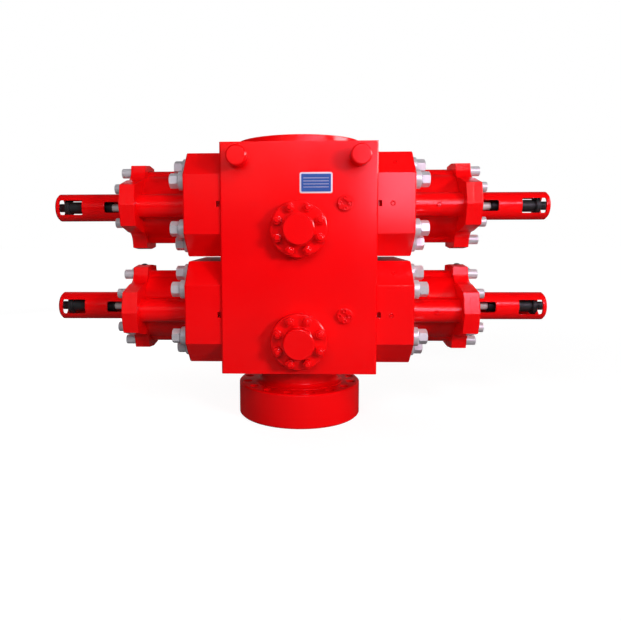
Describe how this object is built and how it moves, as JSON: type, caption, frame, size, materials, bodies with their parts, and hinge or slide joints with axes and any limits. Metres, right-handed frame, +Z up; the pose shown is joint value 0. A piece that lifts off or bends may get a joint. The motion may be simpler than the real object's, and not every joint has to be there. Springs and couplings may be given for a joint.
{
  "type": "double ram blowout preventer",
  "caption": "Red forged double ram blowout preventer: two levels of opposed hydraulic rams with lock-screw tubes, side outlets, studded top and flanged bottom.",
  "frame": {"origin": "centre of the bottom flange's lower face, on the wellbore axis", "axes": "+X along the ram axes to the right seen from the front, the front looks along -Y, +Z up the wellbore"},
  "size_m": [2.607, 0.996, 1.443],
  "materials": {
    "red_paint": "gloss red paint",
    "ram_steel": "machined steel",
    "rubber": "matt black rubber",
    "rod_steel": "polished rod",
    "black_steel": "black oxide",
    "zinc_steel": "bright zinc plating on nuts, washers and screws",
    "nameplate": "blue enamel, blank"
  },
  "bodies": {
    "housing": {"body": "red_paint", "bottom_flange": "red_paint", "neck": "red_paint", "bonnet_upper_left": "red_paint", "cylinder_upper_left": "red_paint", "cylinder_head_upper_left": "red_paint", "lock_tube_upper_left": "red_paint", "bonnet_upper_right": "red_paint", "cylinder_upper_right": "red_paint", "cylinder_head_upper_right": "red_paint", "lock_tube_upper_right": "red_paint", "bonnet_lower_left": "red_paint", "cylinder_lower_left": "red_paint", "cylinder_head_lower_left": "red_paint", "lock_tube_lower_left": "red_paint", "bonnet_lower_right": "red_paint", "cylinder_lower_right": "red_paint", "cylinder_head_lower_right": "red_paint", "lock_tube_lower_right": "red_paint", "outlet_flange_upper_front": "red_paint", "outlet_flange_lower_front": "red_paint", "port_covers_front": "red_paint", "lifting_boss_front_left": "red_paint", "lifting_boss_front_right": "red_paint", "outlet_flange_upper_rear": "red_paint", "outlet_flange_lower_rear": "red_paint", "port_covers_rear": "red_paint", "lifting_boss_rear_left": "red_paint", "lifting_boss_rear_right": "red_paint"},
    "upper_left_ram": {"ram_block_upper_left": "ram_steel", "ram_packer_upper_left": "rubber", "piston_rod_upper_left": "rod_steel", "lock_shaft_upper_left": "black_steel"},
    "upper_right_ram": {"ram_block_upper_right": "ram_steel", "ram_packer_upper_right": "rubber", "piston_rod_upper_right": "rod_steel", "lock_shaft_upper_right": "black_steel"},
    "lower_left_ram": {"ram_block_lower_left": "ram_steel", "ram_packer_lower_left": "rubber", "piston_rod_lower_left": "rod_steel", "lock_shaft_lower_left": "black_steel"},
    "lower_right_ram": {"ram_block_lower_right": "ram_steel", "ram_packer_lower_right": "rubber", "piston_rod_lower_right": "rod_steel", "lock_shaft_lower_right": "black_steel"}
  },
  "joints": [
    {"name": "upper_left_ram_slide", "type": "slide", "parent": "housing", "child": "upper_left_ram", "axis": [1, 0, 0], "range_m": [0, 0.1425]},
    {"name": "upper_right_ram_slide", "type": "slide", "parent": "housing", "child": "upper_right_ram", "axis": [-1, 0, 0], "range_m": [0, 0.1425]},
    {"name": "lower_left_ram_slide", "type": "slide", "parent": "housing", "child": "lower_left_ram", "axis": [1, 0, 0], "range_m": [0, 0.1425]},
    {"name": "lower_right_ram_slide", "type": "slide", "parent": "housing", "child": "lower_right_ram", "axis": [-1, 0, 0], "range_m": [0, 0.1425]}
  ]
}
